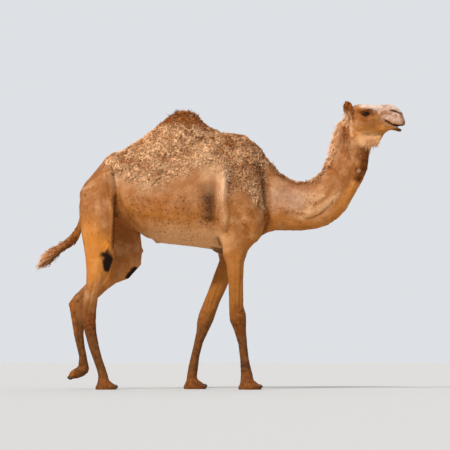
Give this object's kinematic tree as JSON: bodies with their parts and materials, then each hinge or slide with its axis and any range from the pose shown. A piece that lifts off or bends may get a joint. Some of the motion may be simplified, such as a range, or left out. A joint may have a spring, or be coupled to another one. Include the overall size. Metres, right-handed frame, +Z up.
{
  "type": "dromedary camel",
  "caption": "Life-size still model of a walking dromedary camel: one hump, long bent neck, raised head, near hind leg forward and far hind foot lifted.",
  "frame": {"origin": "on the floor, under the middle of the animal's box", "axes": "+X towards the nose, +Y to the animal's left, +Z up"},
  "size_m": [2.697, 0.64, 2.122],
  "materials": {
    "coat": "short sandy hair over skin",
    "wool": "curled brown wool",
    "face": "very short pale hair",
    "leg": "short brown hair",
    "tail": "long brown hair",
    "callus": "bare thick skin",
    "nail": "dull horn",
    "eye": "wet and dark",
    "tooth": "stained enamel"
  },
  "bodies": {
    "root": {"barrel": "coat", "chest": "coat", "chest_pad": "callus", "ear_left": "tail", "ear_right": "tail", "eye_left": "eye", "eye_right": "eye", "fore_cannon_left": "leg", "fore_cannon_right": "leg", "fore_foot_left": "leg", "fore_foot_right": "leg", "fore_nail_left_1": "nail", "fore_nail_left_2": "nail", "fore_nail_right_1": "nail", "fore_nail_right_2": "nail", "forearm_left": "coat", "forearm_right": "coat", "gaskin_left": "coat", "gaskin_right": "coat", "head": "face", "hind_cannon_left": "leg", "hind_cannon_right": "leg", "hind_foot_left": "leg", "hind_foot_right": "leg", "hind_nail_left_1": "nail", "hind_nail_left_2": "nail", "hind_nail_right_1": "nail", "hind_nail_right_2": "nail", "hump": "wool", "lower_jaw": "face", "lower_teeth": "tooth", "neck_lower": "coat", "neck_middle": "coat", "neck_upper": "coat", "rump": "coat", "tail_middle": "tail", "tail_root": "tail", "tail_tassel": "tail", "thigh_left": "coat", "thigh_right": "coat"}
  },
  "joints": []
}
